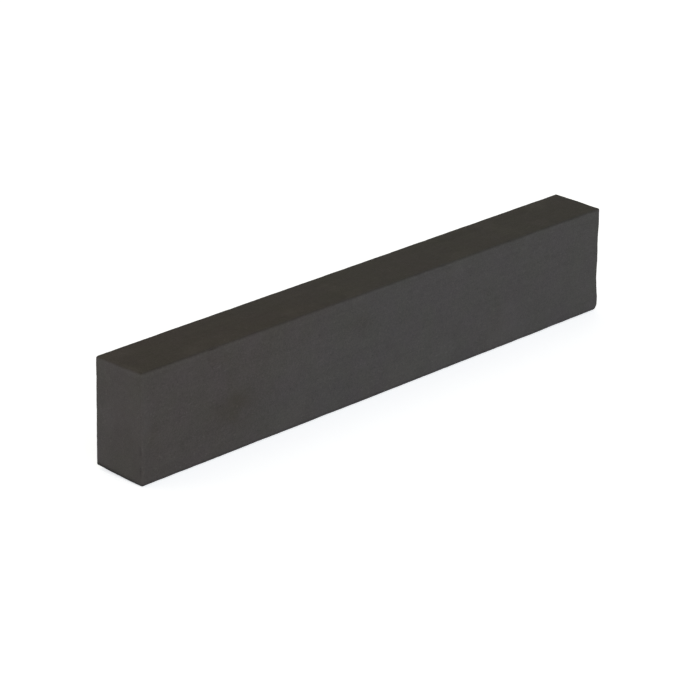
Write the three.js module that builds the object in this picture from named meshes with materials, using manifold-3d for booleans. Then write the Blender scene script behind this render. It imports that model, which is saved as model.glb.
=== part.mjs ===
// A stick of compressed charcoal for drawing, in millimetres, +Z up.
//
// The stick is one bar of charcoal powder and binder, pressed in a mould, with nothing inside it and nothing
// fixed to it. Its length runs along X and its two broad faces look along -Y and +Y. It stands on one of its
// long narrow faces, and the origin is the centre of that face. The end at -X is crisp, but for a worn flat
// under its back corner. The end at +X has been handled, so its bottom edge is worn rounder and its front edge
// is slightly hollow.

import * as THREE from "three";
import { mergeVertices } from "three/addons/utils/BufferGeometryUtils.js";
import Module from "manifold-3d";

const wasm = await Module();
wasm.setup();

// Driving dimensions.
const LENGTH = 76.2; // along X: three inches
const THICKNESS = 7.25; // along Y, between the broad faces
const HEIGHT = 13.2; // along Z

// How round each edge is. Near is the end at -X, far is the end at +X, front is -Y and back is +Y.
const UPRIGHT_EDGES = { nearFront: 0.3, farFront: 0.2, farBack: 0.5, nearBack: 0.22 };
const CROSS_EDGES = { nearBottom: 0.35, farBottom: 0.9, farTop: 0.4, nearTop: 0.25 };
const LONG_EDGES = { frontBottom: 0.35, backBottom: 0.9, backTop: 0.3, frontTop: 0.25 };
const ARC_STEPS = 5; // straight steps in each rounded edge

// Crumbs: small lumps of charcoal that have come off the edges.
const CRUMB_DETAIL = 3; // subdivisions of the icosahedron that each crumb is cut with
const OVERCUT = 5; // how far the bar's three outlines are extruded past its faces

// The worn flat under the near end, as the mark of having been drawn with. It starts at the front bottom
// edge, and is deepest at the back corner.
const FLAT_RISE = 0.55; // how far the back corner is worn up
const FLAT_RUN = 24; // how far the flat reaches along the bottom back edge

const xEnd = LENGTH / 2;
const yFace = THICKNESS / 2;

// Each crumb's centre and its half-lengths along X, Y and Z, before it is turned about its own centre.
const CRUMBS = [
  // The near front upright edge has two narrow nicks low down.
  { at: [-xEnd, -yFace, 4.1], half: [0.22, 0.22, 0.5], turn: [0.1, 0.2, 0.3] },
  { at: [-xEnd, -yFace, 1.9], half: [0.25, 0.22, 0.65], turn: [-0.1, 0.1, 0.8] },
  // The far front upright edge is worn hollow, in two lengths with a slight swelling between them.
  { at: [xEnd + 1.6, -yFace - 1.6, 5.1], half: [2.67, 2.67, 7.5], turn: [0, 0, 0] },
  { at: [xEnd + 1.6, -yFace - 1.6, 9.4], half: [2.69, 2.69, 13.5], turn: [0, 0, 0] },
  // The long top edge at the front and the long bottom edge below it have only small nicks.
  { at: [-27.5, -yFace, HEIGHT], half: [0.7, 0.22, 0.2], turn: [0.3, 0, 0.1] },
  { at: [9.4, -yFace, HEIGHT], half: [0.5, 0.2, 0.2], turn: [0.5, 0.1, 0] },
  { at: [17.3, -yFace, 0], half: [0.8, 0.24, 0.28], turn: [-0.2, 0.1, 0] },
  // The back and underside of the far end have been knocked the most.
  { at: [-21.8, yFace, 0], half: [1.3, 0.55, 0.5], turn: [0.1, 0, -0.1] },
  { at: [26.4, yFace, 0], half: [0.8, 0.5, 0.55], turn: [0.4, 0, 0.1] },
  { at: [xEnd, yFace, 8.6], half: [0.45, 0.5, 1.0], turn: [0.2, 0.1, 0.4] },
  { at: [xEnd, 0.4, 0], half: [0.8, 1.0, 0.7], turn: [0.1, 0.5, 0] },
  { at: [xEnd, yFace, 0], half: [1.3, 1.2, 1.1], turn: [0.5, 0.3, 0.2] },
];

// A closed geometry as a solid that can be joined and cut.
function solidOf(geometry) {
  const bare = geometry.clone();
  bare.deleteAttribute("normal");
  bare.deleteAttribute("uv");
  const merged = mergeVertices(bare);
  return new wasm.Manifold(
    new wasm.Mesh({
      numProp: 3,
      vertProperties: merged.attributes.position.array,
      triVerts: new Uint32Array(merged.index.array),
    }),
  );
}

// A solid as a geometry, with flat shading so that its faces stay flat and its edges crisp.
function geometryOf(solid) {
  const { vertProperties, triVerts } = solid.getMesh();
  const indexed = new THREE.BufferGeometry()
    .setAttribute("position", new THREE.BufferAttribute(vertProperties, 3))
    .setIndex(new THREE.BufferAttribute(triVerts, 1));
  const geometry = indexed.toNonIndexed();
  geometry.computeVertexNormals();
  return geometry;
}

// A rectangle whose four corners have their own radii, counted anticlockwise from the lowest left one.
function roundedRectangle(left, bottom, right, top, [lowLeft, lowRight, highRight, highLeft]) {
  const quarter = Math.PI / 2;
  const shape = new THREE.Shape();
  shape.moveTo(left + lowLeft, bottom);
  shape.lineTo(right - lowRight, bottom);
  shape.absarc(right - lowRight, bottom + lowRight, lowRight, -quarter, 0);
  shape.lineTo(right, top - highRight);
  shape.absarc(right - highRight, top - highRight, highRight, 0, quarter);
  shape.lineTo(left + highLeft, top);
  shape.absarc(left + highLeft, top - highLeft, highLeft, quarter, 2 * quarter);
  shape.lineTo(left, bottom + lowLeft);
  shape.absarc(left + lowLeft, bottom + lowLeft, lowLeft, 2 * quarter, 3 * quarter);
  return shape;
}

// An outline extruded from start to end. Across, up and along are the unit axes that the outline's own x, its
// own y and the extrusion follow, and they are a right-handed set.
function prism(outline, start, end, across, up, along) {
  const options = { depth: end - start, bevelEnabled: false, curveSegments: ARC_STEPS };
  const geometry = new THREE.ExtrudeGeometry(outline, options);
  geometry.translate(0, 0, start);
  geometry.applyMatrix4(new THREE.Matrix4().makeBasis(across, up, along));
  return solidOf(geometry);
}

// The bar before any crumb came off: what is common to its outlines seen from above, the front and the end.
function pressedBar() {
  const X = new THREE.Vector3(1, 0, 0);
  const Y = new THREE.Vector3(0, 1, 0);
  const Z = new THREE.Vector3(0, 0, 1);
  const up = UPRIGHT_EDGES;
  const cross = CROSS_EDGES;
  const long = LONG_EDGES;
  const fromAbove = roundedRectangle(
    -xEnd, -yFace, xEnd, yFace,
    [up.nearFront, up.farFront, up.farBack, up.nearBack],
  );
  // Seen along -Y, so that X runs to the left and the near end is on the right.
  const fromBack = roundedRectangle(
    -xEnd, 0, xEnd, HEIGHT,
    [cross.farBottom, cross.nearBottom, cross.nearTop, cross.farTop],
  );
  const fromEnd = roundedRectangle(
    -yFace, 0, yFace, HEIGHT,
    [long.frontBottom, long.backBottom, long.backTop, long.frontTop],
  );
  return prism(fromAbove, -OVERCUT, HEIGHT + OVERCUT, X, Y, Z)
    .intersect(prism(fromBack, -yFace - OVERCUT, yFace + OVERCUT, X.clone().negate(), Z, Y))
    .intersect(prism(fromEnd, -xEnd - OVERCUT, xEnd + OVERCUT, Y, Z, X));
}

// What the worn flat takes off: all that lies past the plane through its three corners.
function pastWornFlat() {
  const frontCorner = new THREE.Vector3(-xEnd, -yFace, 0);
  const backCorner = new THREE.Vector3(-xEnd, yFace, FLAT_RISE);
  const alongBack = new THREE.Vector3(-xEnd + FLAT_RUN, yFace, 0);
  const flat = new THREE.Plane().setFromCoplanarPoints(frontCorner, backCorner, alongBack);
  const side = 4 * LENGTH;
  const turn = new THREE.Quaternion().setFromUnitVectors(new THREE.Vector3(0, 0, 1), flat.normal);
  const geometry = new THREE.BoxGeometry(side, side, side);
  geometry.translate(0, 0, side / 2);
  geometry.applyQuaternion(turn);
  geometry.translate(frontCorner.x, frontCorner.y, frontCorner.z);
  return solidOf(geometry);
}

// One crumb as a solid.
function crumb({ at, half, turn }) {
  const geometry = new THREE.IcosahedronGeometry(1, CRUMB_DETAIL);
  geometry.scale(...half);
  geometry.applyMatrix4(new THREE.Matrix4().makeRotationFromEuler(new THREE.Euler(...turn)));
  geometry.translate(...at);
  return solidOf(geometry);
}

function charcoalStick() {
  const worn = pressedBar().subtract(pastWornFlat());
  const bar = CRUMBS.reduce((solid, piece) => solid.subtract(crumb(piece)), worn);
  const charcoal = new THREE.MeshStandardMaterial({ color: 0x454342, roughness: 0.85, metalness: 0 });
  const mesh = new THREE.Mesh(geometryOf(bar), charcoal);
  mesh.name = "charcoal_stick";
  return mesh;
}

const stick = new THREE.Group();
stick.add(charcoalStick());

export default stick;
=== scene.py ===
"""A stick of compressed charcoal on a pale table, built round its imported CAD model.

The CAD bar gives the size, the rounded edges and the larger crumbs. This script covers that bar with a fine
grid of quads, carves small chips and pits out of it, roughens it, and gives it a charcoal material.

Lengths in the parts about shape, marks and material are in millimetres. Everything else is in metres, as the
frame is. Near is the bar's end at -X, far is its end at +X, front is -Y and back is +Y.
"""

import math

import bpy
import numpy as np
from mathutils import Matrix, Vector, noise
from mathutils.bvhtree import BVHTree


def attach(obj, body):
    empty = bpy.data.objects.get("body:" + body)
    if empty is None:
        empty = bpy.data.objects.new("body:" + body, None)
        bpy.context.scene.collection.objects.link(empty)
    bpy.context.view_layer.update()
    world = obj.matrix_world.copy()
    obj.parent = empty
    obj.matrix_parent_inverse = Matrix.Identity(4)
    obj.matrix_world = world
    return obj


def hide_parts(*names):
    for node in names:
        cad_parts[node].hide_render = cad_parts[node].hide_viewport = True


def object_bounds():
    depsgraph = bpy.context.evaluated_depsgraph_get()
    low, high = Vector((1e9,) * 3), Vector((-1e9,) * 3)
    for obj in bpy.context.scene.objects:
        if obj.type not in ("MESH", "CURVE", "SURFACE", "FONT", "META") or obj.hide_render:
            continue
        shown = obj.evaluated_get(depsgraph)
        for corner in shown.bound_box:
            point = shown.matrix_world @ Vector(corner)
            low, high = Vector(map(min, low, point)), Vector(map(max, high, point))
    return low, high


MM = 0.001  # metres in a millimetre
NODE = "charcoal_stick"
SEED = 11


# ---------------------------------------------------------------------------------------------------- shape

# The grid of quads that covers the bar.
EDGE_STEP = 0.06  # between grid lines at an edge of the bar
EDGE_BAND = 0.4  # how far from an edge that spacing goes
STEP_GROWTH = 1.16  # how much wider each step is than the last, beyond the band
FACE_STEP = 0.225  # the widest step, in the middle of a face
CORE_INSET = 1.7  # how deep the core lies that every grid point is pushed out from

# The CAD bar's worn flat under the near end's back corner: how high that corner is worn up, and how far the
# flat reaches along the bottom back edge. The grid's lines are lifted to follow its edges.
FLAT_RISE, FLAT_RUN = 0.55, 24

# Each use of noise has a layer of its own, so that no two patterns match.
LAYERS = {"bow": 0, "drag": 1, "lump": 2, "grain": 3, "crumble": 5, "smudge_x": 7, "smudge_z": 8}
LAYER_GAP = 37.3  # between layers, in features of the noise
BREAK_OCTAVES = 3  # how many sizes of crease a broken surface has

# How deep each kind of roughness goes, and over what distance it changes.
BOW_DEPTH, BOW_SIZE = 0.05, 26  # the faces aren't quite flat
DRAG_DEPTH, DRAG_LENGTH, DRAG_WIDTH = 0.012, 45, 0.8  # faint lines along the bar, from the mould
LUMP_DEPTH, LUMP_SIZE = 0.014, 1.6
GRAIN_DEPTH, GRAIN_SIZE = 0.01, 0.5
FRESH_DEPTH, FRESH_SIZE = 0.07, 0.45  # the broken surface inside chips and pits
FRESH_FULL = 0.07  # how deep a break has to go to look wholly fresh

# Crumbled edges.
CRUMBLE_DEPTH, CRUMBLE_SIZE = 0.16, 0.5
CRUMBLE_REACH = 0.26  # how far from the edge they go, across a face
CRUMBLE_SPREAD = (0.5, 2)  # what that is multiplied by, from an unworn edge to the most knocked one
STRETCH_SIZE = 5  # how much larger the stretches of crumbled edge are than the crumbs
STRETCH_WEIGHT = 2  # how strongly the crumbs keep to those stretches

# The extra rounding of the far end's bottom edges.
WORN_DEPTH, WORN_REACH = 0.05, 0.7
WORN_START = 0.76  # where along the bar it starts, as a share of the length
WORN_UP = 0.3  # how far up it goes, as a share of the height

DIP_DEPTH, DIP_REACH = 0.14, 2.6  # how the top sinks towards its far front corner

# How much the bar's front, top and near end are worn, against its back and underside, and how far from those
# three faces the wear takes to grow.
KEPT, KEPT_REACH = 0.22, 1.2

# Chips along the edges are shallow pieces of ellipsoids. Each has its half-length along the edge, its
# half-width across it and how deep it goes, from the smallest chip's to the largest one's.
CHIP_COUNT = 260
CHIP_LENGTH = (0.3, 2.2)
CHIP_WIDTH = (0.3, 1.2)
CHIP_DEPTH = (0.02, 0.17)
CHIP_SKEW = 3  # the higher, the more of the chips are small
CHIP_UNEVEN = (0.8, 1.25)  # what each half-width is multiplied by, at random
CHIP_LIKELY = (0.5, 1.5)  # how likely chips are, from the near end to the far end

# Pits in the faces.
PIT_COUNT = 34
PIT_RADIUS = (0.2, 0.42)
PIT_DEPTH = (0.04, 0.12)
PIT_UNEVEN = (0.7, 1.2)  # what the radius is multiplied by in each direction, at random
PIT_KEPT = 0.5  # the higher, the closer the unworn faces' pits are to the others in depth


def graded_places(length):
    """Places from 0 to length, closest together near both ends."""
    half = [0.0]
    step = EDGE_STEP
    while half[-1] < length / 2:
        half.append(half[-1] + step)
        if half[-1] > EDGE_BAND:
            step = min(step * STEP_GROWTH, FACE_STEP)
    half = np.array(half) * (length / 2 / half[-1])
    return np.concatenate([half, length - half[-2::-1]])


def box_grid(places):
    """A box's surface as quads. Returns each vertex's three indices into places, and each quad's corners."""
    quads = []
    for axis in range(3):
        across, up = (axis + 1) % 3, (axis + 2) % 3
        i, j = (n.ravel() for n in np.indices((len(places[across]) - 1, len(places[up]) - 1)))
        corners = [(i, j), (i + 1, j), (i + 1, j + 1), (i, j + 1)]
        for side, ring in ((0, corners[::-1]), (len(places[axis]) - 1, corners)):
            quad = np.full((i.size, 4, 3), side)
            for n, (u, v) in enumerate(ring):
                quad[:, n, across] = u
                quad[:, n, up] = v
            quads.append(quad)
    corners, index = np.unique(np.concatenate(quads).reshape(-1, 3), axis=0, return_inverse=True)
    return corners, index.reshape(-1, 4)


def noise_at(points, size, layer):
    """Smooth noise, mostly within -0.5 to 0.5. Size is how far it takes to change."""
    return np.array([noise.noise(p) for p in points / np.array(size) + LAYER_GAP * LAYERS[layer]])


def broken(points, size):
    """Creased noise, as a break has, mostly within -0.5 to 0.5."""
    return np.array([noise.turbulence(p, BREAK_OCTAVES, True) for p in points / size]) - 0.5


def smooth_step(value, start, end):
    """Goes smoothly from 0 to 1 as value goes from start to end."""
    share = np.clip((value - start) / (end - start), 0, 1)
    return share * share * (3 - 2 * share)


def between(share, span):
    """What is this share of the way from a span's first value to its last."""
    return np.interp(share, (0, 1), span)


class Rays:
    """The bar's surface as rays that start on a core inside it. A grid point is where its ray ends."""

    def __init__(self, cad):
        points = np.array([v.co for v in cad.vertices]) / MM
        self.low, self.high = points.min(axis=0), points.max(axis=0)
        tree = BVHTree.FromPolygons(points.tolist(), [tuple(p.vertices) for p in cad.polygons])
        places = [graded_places(length) for length in self.high - self.low]
        corners, self.quads = box_grid(places)
        on_box = np.stack([self.low[a] + places[a][corners[:, a]] for a in range(3)], axis=1)
        gaps_low, gaps_high = on_box - self.low, self.high - on_box
        share = gaps_low / (self.high - self.low)
        flat = FLAT_RISE * np.maximum(share[:, 1] - gaps_low[:, 0] / FLAT_RUN, 0)
        self.lift = flat * (1 - share[:, 2])  # how far up each point is moved, to follow the worn flat
        on_box[:, 2] += self.lift
        self.start = np.clip(on_box, self.low + CORE_INSET, self.high - CORE_INSET)
        self.way = on_box - self.start
        self.way /= np.linalg.norm(self.way, axis=1)[:, None]
        self.reach = np.array([tree.ray_cast(s, w)[3] for s, w in zip(self.start, self.way)])
        gaps = np.sort(np.minimum(gaps_low, gaps_high), axis=1)
        self.from_edge = gaps[:, 1]  # how far along its face each point is from an edge
        self.along = share[:, 0]  # 0 near, 1 far
        self.fresh = np.zeros(len(on_box))  # 1 where charcoal has come away
        from_kept = np.minimum(gaps_low[:, :2].min(axis=1), gaps_high[:, 2])
        self.knocked = KEPT + (1 - KEPT) * smooth_step(from_kept, 0, KEPT_REACH)

    def points(self):
        """Where the rays end, which is the bar's surface."""
        return self.start + self.way * self.reach[:, None]

    def carve(self, centre, half, rough):
        """Takes a rough ellipsoid out of the bar: every ray that would go into it stops at its surface."""
        start = (self.start - centre) / half
        way = self.way / half
        a = (way * way).sum(axis=1)
        b = (start * way).sum(axis=1)
        inside = b * b - a * ((start * start).sum(axis=1) - 1)
        hit = np.flatnonzero(inside > 0)
        stop = (-b[hit] - np.sqrt(inside[hit])) / a[hit]
        stop += rough * broken(self.start[hit] + self.way[hit] * stop[:, None], FRESH_SIZE)
        cut = (stop > 0) & (stop < self.reach[hit])
        hit, stop = hit[cut], stop[cut]
        depth = np.clip((self.reach[hit] - stop) / FRESH_FULL, 0, 1)
        self.fresh[hit] = np.maximum(self.fresh[hit], depth)
        self.reach[hit] = stop


def carve_chips(rays, random):
    """Chips lie along the edges, most of them towards the worn far end and at the back."""
    points = rays.points()
    likely = (rays.from_edge < EDGE_STEP / 2) * rays.knocked * between(rays.along, CHIP_LIKELY)
    for at in random.choice(len(points), CHIP_COUNT, p=likely / likely.sum()):
        size = random.random() ** CHIP_SKEW
        half = between(size, CHIP_WIDTH) * random.uniform(*CHIP_UNEVEN, 3)
        gaps = np.minimum(points[at] - rays.low, rays.high - points[at])
        half[gaps.argmax()] = between(size, CHIP_LENGTH)
        depth = between(size, CHIP_DEPTH) * rays.knocked[at]
        radius = 1 / np.linalg.norm(rays.way[at] / half)
        rays.carve(points[at] + rays.way[at] * (radius - depth), half, depth)


def carve_pits(rays, random):
    """Pits are small round holes where air was caught or a grain fell out."""
    points = rays.points()
    likely = (rays.from_edge > PIT_RADIUS[1]) * rays.knocked
    for at in random.choice(len(points), PIT_COUNT, p=likely / likely.sum()):
        radius = random.uniform(*PIT_RADIUS)
        depth = random.uniform(*PIT_DEPTH) * (PIT_KEPT + rays.knocked[at]) / (PIT_KEPT + 1)
        half = radius * random.uniform(*PIT_UNEVEN, 3)
        rays.carve(points[at] + rays.way[at] * (radius - depth), half, depth / 2)


def roughen(rays):
    """Moves the surface in or out by a few hundredths, and further in where it is worn."""
    points = rays.points()
    near_edge = np.exp(-(rays.from_edge / CRUMBLE_REACH / between(rays.knocked, CRUMBLE_SPREAD)) ** 2)
    stretches = noise_at(points, STRETCH_SIZE * CRUMBLE_SIZE, "crumble")
    crumble = np.maximum(broken(points, CRUMBLE_SIZE) + STRETCH_WEIGHT * stretches, 0)
    low_down = smooth_step(points[:, 2], WORN_UP * rays.high[2], 0)
    worn = np.exp(-(rays.from_edge / WORN_REACH) ** 2) * smooth_step(rays.along, WORN_START, 1) * low_down
    from_corner = np.linalg.norm(points - (rays.high[0], rays.low[1], rays.high[2]), axis=1)
    dip = np.exp(-(from_corner / DIP_REACH) ** 2) * np.maximum(rays.way[:, 2], 0)
    rays.reach -= (
        BOW_DEPTH * np.maximum(noise_at(points, BOW_SIZE, "bow"), 0)
        + DRAG_DEPTH * noise_at(points, (DRAG_LENGTH, DRAG_WIDTH, DRAG_WIDTH), "drag")
        + LUMP_DEPTH * noise_at(points, LUMP_SIZE, "lump")
        + GRAIN_DEPTH * noise_at(points, GRAIN_SIZE, "grain")
        + CRUMBLE_DEPTH * crumble * near_edge * rays.knocked
        + WORN_DEPTH * worn
        + DIP_DEPTH * dip
        + FRESH_DEPTH * broken(points, FRESH_SIZE / 2) * rays.fresh * rays.knocked
    )


# ---------------------------------------------------------------------------------------------------- marks

# The CAD bar's two nicks in its near front edge have a dark side of painted shade, towards the end, and a
# pale side of painted highlight.
NICKS_UP = (4.15, 1.85)  # how high up they are
NICK_HALF = 0.55  # half their height
NICK_WIDTH = 0.16  # of each side
NICK_TO_END = 0.08  # how far round towards the end they lie
NICK_LIMIT = 1  # how far from the edge they can be seen

FOOT_SHADOW_REACH = 0.3  # how far up the bottom edges are darkened by painted contact shadow

# A paler line along the sides, just under the top edge, part burnish and part painted highlight: how far down
# it is, half its height, and the share of the bar's length, from the near end, over which it fades out.
RIM_DOWN, RIM_HALF, RIM_FADE = 0.42, 0.28, 0.4

# A large pale patch on the near end, against its back edge: how high up it is, its half-width, its
# half-height, and how far along the bar it still shows.
PALE_UP, PALE_HALF_WIDTH, PALE_HALF_HEIGHT, PALE_SKIN = 5.4, 2.4, 5.0, 0.4

# Soft dark smudges on the front face: how far along and up the bar, as shares of its length and height, their
# half-lengths and half-heights, and how dark they are.
SMUDGES = (
    (0.18, 0.42, 3.0, 1.9, 0.85),
    (0.195, 0.38, 1.3, 1.0, 0.5),
    (0.028, 0.42, 0.9, 3.2, 0.45),
    (0.44, 0.73, 2.2, 1.2, 0.45),
    (0.14, 0.9, 1.5, 1.0, 0.4),
)
SMUDGE_RAGGED, SMUDGE_WAVE = 1.6, 2.2  # how far their outlines wander, and over what distance
SMUDGE_SKIN = 0.5  # how far in from the front face they still show


def crumbled_edge(rays):
    """1 at every edge, and less away from it."""
    return np.exp(-(rays.from_edge / CRUMBLE_REACH) ** 2)


def painted_foot_shadow(rays):
    """Painted contact shadow: 1 at the bottom edges, and less away from them."""
    up = rays.points()[:, 2] - rays.lift
    return np.exp(-(np.maximum(rays.from_edge, up) / FOOT_SHADOW_REACH) ** 2)


def smudges(rays):
    """How smudged each point of the front face is. 0 is clean."""
    points = rays.points()
    wander = [SMUDGE_RAGGED * noise_at(points, SMUDGE_WAVE, layer) for layer in ("smudge_x", "smudge_z")]
    total = np.zeros(len(points))
    for along, up, half_long, half_high, dark in SMUDGES:
        x = rays.low[0] + along * (rays.high[0] - rays.low[0])
        z = rays.low[2] + up * (rays.high[2] - rays.low[2])
        across = (points[:, 0] + wander[0] - x) / half_long
        above = (points[:, 2] + wander[1] - z) / half_high
        total += dark * np.exp(-across ** 2 - above ** 2)
    return total * (points[:, 1] < rays.low[1] + SMUDGE_SKIN)


def painted_nick_shading(rays):
    """Painted light and shade at the nicks: 1 on their pale side, and -1 on their dark side."""
    x, y, z = (rays.points() - rays.low).T
    level = sum(np.exp(-((z - up) / NICK_HALF) ** 4) for up in NICKS_UP) * (x + y < NICK_LIMIT)
    across = (x - y + NICK_TO_END) / NICK_WIDTH
    return level * (np.exp(-(across - 1) ** 2) - np.exp(-(across + 1) ** 2))


def burnish_highlight_rim(rays):
    """1 on the paler line at the near end, part burnish and part painted highlight, and less away from it."""
    down = rays.high[2] - rays.points()[:, 2]
    return np.exp(-((down - RIM_DOWN) / RIM_HALF) ** 2) * np.maximum(1 - rays.along / RIM_FADE, 0)


def pale_patch(rays):
    """1 in the middle of the near end's pale patch, and less away from it."""
    points = rays.points()
    across = (rays.high[1] - points[:, 1]) / PALE_HALF_WIDTH
    above = (points[:, 2] - PALE_UP) / PALE_HALF_HEIGHT
    on_end = smooth_step(points[:, 0], rays.low[0] + PALE_SKIN, rays.low[0])
    return np.exp(-across ** 2 - above ** 2) * on_end


# What the material is told about each point of the bar, by name.
MARKS = {
    "fresh": lambda rays: rays.fresh,
    "edge": crumbled_edge,
    "foot_shadow": painted_foot_shadow,
    "smudge": smudges,
    "nick_shading": painted_nick_shading,
    "rim_burnish_highlight": burnish_highlight_rim,
    "pale": pale_patch,
}


# ------------------------------------------------------------------------------------------------- material

BROWN_GREY = (0.0502, 0.0460, 0.0452, 1)  # near the near end
PLAIN_GREY = (0.0500, 0.0493, 0.0504, 1)  # further along
BROWN_FADE = (-38, 16)  # where the brown starts to fade and has faded, from the bar's middle
BROWN_CLOUD = 1.5  # how cloudy that fading is

# What those are multiplied by, in patches.
MAUVE = (1.015, 0.985, 1.02)
OLIVE = (0.99, 1.01, 0.96)
SMUDGE = (0.83, 0.81, 0.72)
PALE = (1.13, 1.15, 1.19)
TINGE_RANGE = (-0.25, 0.25)  # the noise that is wholly mauve, and the noise that is wholly olive

# Plain noises: the size of their features, how many finer sizes they have, and how strong those are.
NOISES = {
    "cloud": (13, 2, 0.5),
    "tinge": (4, 2, 0.5),
    "mottle": (2.2, 4, 0.6),
    "lumps": (0.8, 3, 0.6),
    "grain": (0.16, 3, 0.6),
    "powder": (0.06, 1, 0.5),
}

# Patches: the same three values, and the noise where a patch starts and where it is full.
PATCHES = {
    "dust": (4.5, 6, 0.7, 0.02, 0.2),
    "rubbed": (7, 3, 0.5, 0.03, 0.16),
    "scratched": (6, 2, 0.5, -0.02, 0.12),
}

# Mould lines: how the noise is squeezed to stretch it along the bar, and its three values.
MOULD_STRETCH, MOULD_NOISE = (0.02, 1, 1), (0.5, 3, 0.6)

# Scratches: the same, turned in three ways, and the noise where a scratch starts and where it is full.
SCRATCH_TURNS = ((0, 8, 5), (0, -24, -16), (12, 52, 38))
SCRATCH_STRETCH, SCRATCH_NOISE, SCRATCH_RANGE = (0.035, 1, 1), (0.13, 0, 0.5), (0.27, 0.33)

# Glints: cells in a millimetre, and how bright the ones that glint are.
GLINT_CELLS, GLINT_RANGE = 5.5, (0.84, 0.9)

# Pores, with painted shade in them: cells in a millimetre, how bright the ones with a pore are, and the
# largest pore and its rim, both in cells.
PORE_CELLS, PORE_RANGE, PORE_RADIUS, PORE_RIM = 1.1, (0.4, 1.0), 0.11, 0.03

# How much each pattern adds to the charcoal's brightness, which is 1 without them.
SHADE_BY = {
    "mottle": 0.18,
    "lumps": 0.22,
    "grain": 0.7,
    "powder": 0.7,
    # painted shade in the pores
    "pore_and_shade": -0.3,
    "mould": 0.16,
    "dust": 0.03,
    "glint": 0.14,
    "scratch": 0.18,
    "edge": 0.03,
    "fresh": -0.07,
    # painted shade and painted highlight at the nicks
    "nick_shading": 0.26,
    # part burnish, part painted highlight under the top edge
    "rim_burnish_highlight": 0.065,
    # painted contact shadow along the bottom edges
    "foot_shadow": -0.9,
}

# How rough the charcoal is, and how much each pattern adds to that.
ROUGHNESS = 0.74
ROUGHNESS_BY = {"lumps": 0.12, "dust": 0.1, "rubbed": -0.09, "scratch": -0.1, "edge": -0.08, "fresh": 0.2}

# How far each pattern raises the surface.
HEIGHT_BY = {
    "powder": 0.006,
    "pore_and_shade": -0.04,
    "grain": 0.02,
    "lumps": 0.02,
    "mould": 0.014,
    "scratch": -0.006,
    "fresh_grain": 0.05,
}

SPECULAR = 0.22


class Shader:
    """A material whose nodes are added by short calls. Each call returns the new node's output."""

    def __init__(self, name):
        self.material = bpy.data.materials.new(name)
        self.material.use_nodes = True
        self.tree = self.material.node_tree
        self.surface = self.tree.nodes["Principled BSDF"]

    def feed(self, socket, value):
        if isinstance(value, bpy.types.NodeSocket):
            self.tree.links.new(value, socket)
        else:
            socket.default_value = value

    def set(self, **inputs):
        """Sets the surface's inputs. A name's spaces are written as underscores."""
        for name, value in inputs.items():
            self.feed(self.surface.inputs[name.replace("_", " ")], value)

    def add(self, kind, inputs, output=0, **settings):
        node = self.tree.nodes.new(kind)
        for name, value in settings.items():
            setattr(node, name, value)
        for name, value in inputs.items():
            self.feed(node.inputs[name], value)
        return node.outputs[output]

    def calc(self, operation, a, b):
        return self.add("ShaderNodeMath", {0: a, 1: b}, operation=operation)

    def weighted(self, start, patterns, weights):
        """start, plus each weight times the pattern that it is for."""
        for name, weight in weights.items():
            start = self.calc("ADD", start, self.calc("MULTIPLY", patterns[name], weight))
        return start

    def noise(self, place, size, detail, roughness):
        """Noise centred on 0, mostly within -0.5 to 0.5, whose features are about size wide."""
        inputs = {"Vector": place, "Scale": 1 / size, "Detail": detail, "Roughness": roughness}
        return self.calc("SUBTRACT", self.add("ShaderNodeTexNoise", inputs), 0.5)

    def cells(self, place, scale, output):
        """Scattered cells: the random Color of the nearest one, or the Distance to its middle."""
        return self.add("ShaderNodeTexVoronoi", {"Vector": place, "Scale": scale}, output=output)

    def ramp(self, value, start, end, first=0.0, last=1.0):
        """Goes smoothly from first to last as value goes from start to end."""
        inputs = {"Value": value, "From Min": start, "From Max": end, "To Min": first, "To Max": last}
        return self.add("ShaderNodeMapRange", inputs, interpolation_type="SMOOTHSTEP")

    def turned(self, place, turn, stretch):
        """place turned by Euler angles in degrees, then scaled."""
        angles = [math.radians(a) for a in turn]
        turned = self.add("ShaderNodeMapping", {"Vector": place, "Rotation": angles}, vector_type="POINT")
        return self.tinted(turned, stretch)

    def blend(self, share, a, b):
        """Colour a where share is 0, and b where it is 1. Inputs 6 and 7 are the node's two colours."""
        return self.add("ShaderNodeMix", {0: share, 6: a, 7: b}, output=2, data_type="RGBA")

    def tinted(self, colour, tint):
        """A colour or a place, with each of its three parts multiplied by the tint's."""
        return self.add("ShaderNodeVectorMath", {0: colour, 1: tint}, operation="MULTIPLY")

    def scaled(self, vector, scale):
        return self.add("ShaderNodeVectorMath", {0: vector, "Scale": scale}, operation="SCALE")

    def attribute(self, name):
        return self.add("ShaderNodeAttribute", {}, output="Fac", attribute_name=name)


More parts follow.
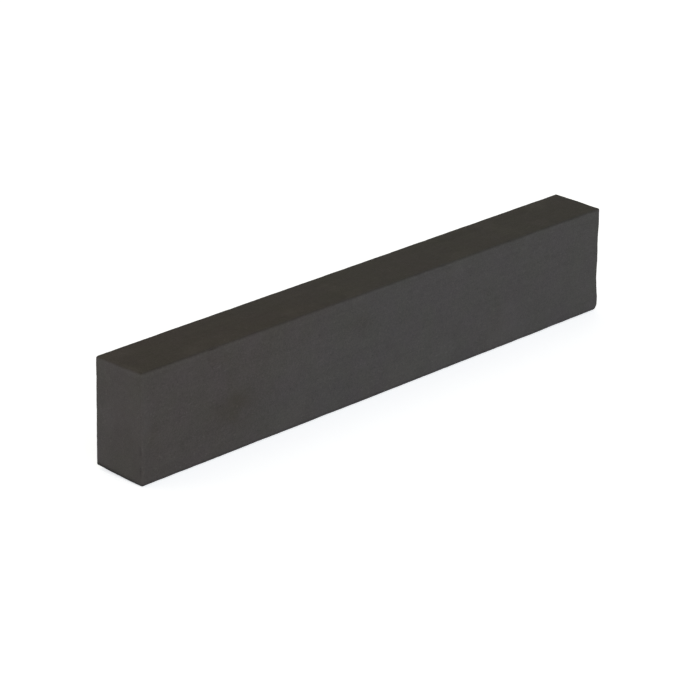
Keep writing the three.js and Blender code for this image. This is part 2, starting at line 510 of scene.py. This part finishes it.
def charcoal_patterns(s, place):
    """All that the charcoal's colour, roughness and height are made from, by name."""
    patterns = {name: s.attribute(name) for name in MARKS}
    for name, values in NOISES.items():
        patterns[name] = s.noise(place, *values)
    for name, (size, detail, roughness, start, full) in PATCHES.items():
        patterns[name] = s.ramp(s.noise(place, size, detail, roughness), start, full)
    patterns["mould"] = s.noise(s.turned(place, (0, 0, 0), MOULD_STRETCH), *MOULD_NOISE)
    patterns["glint"] = s.ramp(s.cells(place, GLINT_CELLS, "Color"), *GLINT_RANGE)

    scratches = 0.0
    for turn in SCRATCH_TURNS:
        streak = s.noise(s.turned(place, turn, SCRATCH_STRETCH), *SCRATCH_NOISE)
        scratches = s.calc("ADD", scratches, s.ramp(streak, *SCRATCH_RANGE))
    patterns["scratch"] = s.calc("MULTIPLY", scratches, patterns["scratched"])

    pore_size = s.ramp(s.cells(place, PORE_CELLS, "Color"), *PORE_RANGE, 0.0, PORE_RADIUS)
    pore_depth = s.calc("SUBTRACT", pore_size, s.cells(place, PORE_CELLS, "Distance"))
    patterns["pore_and_shade"] = s.ramp(pore_depth, 0.0, PORE_RIM)
    patterns["fresh_grain"] = s.calc("MULTIPLY", patterns["grain"], patterns["fresh"])
    return patterns


def charcoal_colour(s, place, patterns):
    """Brown-grey that fades to plain grey along the bar, tinted in patches and shaded by every pattern."""
    along = s.add("ShaderNodeSeparateXYZ", {"Vector": place}, output="X")
    near = s.ramp(along, *BROWN_FADE, 1.0, 0.0)
    browner = s.weighted(near, patterns, {"cloud": BROWN_CLOUD})
    colour = s.blend(s.ramp(browner, 0.0, 1.0), PLAIN_GREY, BROWN_GREY)
    tinge = s.ramp(patterns["tinge"], *TINGE_RANGE)
    colour = s.blend(tinge, s.tinted(colour, MAUVE), s.tinted(colour, OLIVE))
    for name, tint in (("smudge", SMUDGE), ("pale", PALE)):
        colour = s.blend(patterns[name], colour, s.tinted(colour, tint))
    return s.scaled(colour, s.weighted(1.0, patterns, SHADE_BY))


def charcoal_material():
    s = Shader("compressed_charcoal")
    place = s.scaled(s.add("ShaderNodeTexCoord", {}, output="Object"), 1 / MM)
    patterns = charcoal_patterns(s, place)
    height = s.weighted(0.0, patterns, HEIGHT_BY)
    s.set(
        Base_Color=charcoal_colour(s, place, patterns),
        Roughness=s.weighted(ROUGHNESS, patterns, ROUGHNESS_BY),
        Normal=s.add("ShaderNodeBump", {"Height": height, "Distance": MM, "Strength": 1.0}),
        Specular_IOR_Level=SPECULAR,
    )
    return s.material


# --------------------------------------------------------------------------------------------------- pieces

def placed(name, data):
    """A new object in the scene, for this mesh, lamp or camera."""
    piece = bpy.data.objects.new(name, data)
    bpy.context.scene.collection.objects.link(piece)
    return piece


def charcoal_bar(node):
    """The visible bar, which stands for the CAD one."""
    rays = Rays(node.data)
    random = np.random.default_rng(SEED)
    carve_chips(rays, random)
    carve_pits(rays, random)
    roughen(rays)
    mesh = bpy.data.meshes.new("charcoal_bar")
    mesh.from_pydata((rays.points() * MM).tolist(), [], rays.quads.tolist())
    mesh.polygons.foreach_set("use_smooth", [True] * len(mesh.polygons))
    for name, mark in MARKS.items():
        mesh.attributes.new(name, "FLOAT", "POINT").data.foreach_set("value", mark(rays))
    mesh.materials.append(charcoal_material())
    mesh.update()
    bar = placed("charcoal_bar", mesh)
    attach(bar, "root")
    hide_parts(NODE)


# The table is a square, whose half-width is this many times the bar's diagonal.
TABLE_SIZE = 40
TABLE_SURFACE = {
    "Base_Color": (0.75, 0.77, 0.8, 1),
    "Roughness": 0.9,
    "Specular_IOR_Level": 0.2,
    "Emission_Color": (0.95, 0.97, 1, 1),
    "Emission_Strength": 0.71,
}


def table(low, high):
    mesh = bpy.data.meshes.new("table")
    side = TABLE_SIZE * (high - low).length
    x, y, z = (low.x + high.x) / 2, (low.y + high.y) / 2, low.z
    corners = [(x + i * side, y + j * side, z) for i, j in ((-1, -1), (1, -1), (1, 1), (-1, 1))]
    mesh.from_pydata(corners, [], [(0, 1, 2, 3)])
    pale = Shader("pale_table")
    pale.set(**TABLE_SURFACE)
    mesh.materials.append(pale.material)
    placed("table", mesh)


# --------------------------------------------------------------------------------------------------- studio

# Each lamp's strength, its azimuth and elevation in degrees, and its colour.
LAMPS = {
    "key": (1.62, -25, 22, (1, 0.985, 0.96)),
    "fill": (0.97, 180, 40, (1, 0.92, 0.7)),
}
LAMP_SPREAD = 100  # how wide each lamp looks from the bar, in degrees

ROOM_COLOUR, ROOM_STRENGTH = (1, 0.93, 0.8, 1), 0.17
WHITE = (1, 1, 1, 1)

# The camera, from the photograph's perspective.
CAMERA_AZIMUTH = -46.95  # degrees round the bar from straight in front of its broad face
CAMERA_ELEVATION = 21.8  # degrees above the table
CAMERA_ROLL = 1.09  # degrees that the camera leans
CAMERA_LENS, CAMERA_SENSOR = 175.1, 36  # millimetres
CAMERA_CLIP = (0.01, 100)  # the nearest and the farthest that it sees
CAMERA_DEPTH = 5.113  # how far the bar's centre is in front of the camera, in lengths of the bar
CENTRE_RIGHT = 0.0193  # where the bar's centre is seen from the picture's centre, in the same unit
CENTRE_UP = 0.0286


def towards(azimuth, elevation):
    """The unit vector from the bar to something at these angles, in degrees. Azimuth 0 is along -Y."""
    a, e = math.radians(azimuth), math.radians(elevation)
    return Vector((math.sin(a) * math.cos(e), -math.cos(a) * math.cos(e), math.sin(e)))


def lamp(name, energy, azimuth, elevation, colour):
    """A very distant soft light."""
    sun = bpy.data.lights.new(name, "SUN")
    sun.energy = energy
    sun.color = colour
    sun.angle = math.radians(LAMP_SPREAD)
    piece = placed(name, sun)
    piece.rotation_mode = "QUATERNION"
    piece.rotation_quaternion = (-towards(azimuth, elevation)).to_track_quat("-Z", "Y")


def studio_world():
    """A dim warm room that the camera sees as plain white."""
    world = bpy.data.worlds.new("studio")
    world.use_nodes = True
    tree = world.node_tree
    room = tree.nodes["Background"]
    room.inputs["Color"].default_value = ROOM_COLOUR
    room.inputs["Strength"].default_value = ROOM_STRENGTH
    seen = tree.nodes.new("ShaderNodeBackground")
    seen.inputs["Color"].default_value = WHITE
    path = tree.nodes.new("ShaderNodeLightPath")
    mix = tree.nodes.new("ShaderNodeMixShader")
    tree.links.new(path.outputs["Is Camera Ray"], mix.inputs[0])
    tree.links.new(room.outputs[0], mix.inputs[1])
    tree.links.new(seen.outputs[0], mix.inputs[2])
    tree.links.new(mix.outputs[0], tree.nodes["World Output"].inputs["Surface"])
    bpy.context.scene.world = world


def camera(low, high):
    """A camera that sees the bar as the photograph does."""
    lens = bpy.data.cameras.new("camera")
    lens.lens = CAMERA_LENS
    lens.sensor_width = CAMERA_SENSOR
    lens.clip_start, lens.clip_end = CAMERA_CLIP
    view = placed("camera", lens)
    turn = (-towards(CAMERA_AZIMUTH, CAMERA_ELEVATION)).to_track_quat("-Z", "Y").to_matrix()
    turn = turn @ Matrix.Rotation(math.radians(CAMERA_ROLL), 3, "Z")
    seen = Vector((CENTRE_RIGHT, CENTRE_UP, -CAMERA_DEPTH)) * (high.x - low.x)
    view.matrix_world = Matrix.Translation((low + high) / 2 - turn @ seen) @ turn.to_4x4()
    bpy.context.scene.camera = view


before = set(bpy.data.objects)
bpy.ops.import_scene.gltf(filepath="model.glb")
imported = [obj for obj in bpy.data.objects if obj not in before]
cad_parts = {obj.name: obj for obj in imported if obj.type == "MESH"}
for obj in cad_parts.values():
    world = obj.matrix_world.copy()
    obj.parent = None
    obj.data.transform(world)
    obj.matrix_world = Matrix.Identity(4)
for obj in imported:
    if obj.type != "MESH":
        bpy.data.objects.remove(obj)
cad_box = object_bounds()

charcoal_bar(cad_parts[NODE])
table(*cad_box)
for lamp_name, values in LAMPS.items():
    lamp(lamp_name, *values)
studio_world()
camera(*cad_box)
bpy.context.scene.view_settings.view_transform = "Standard"
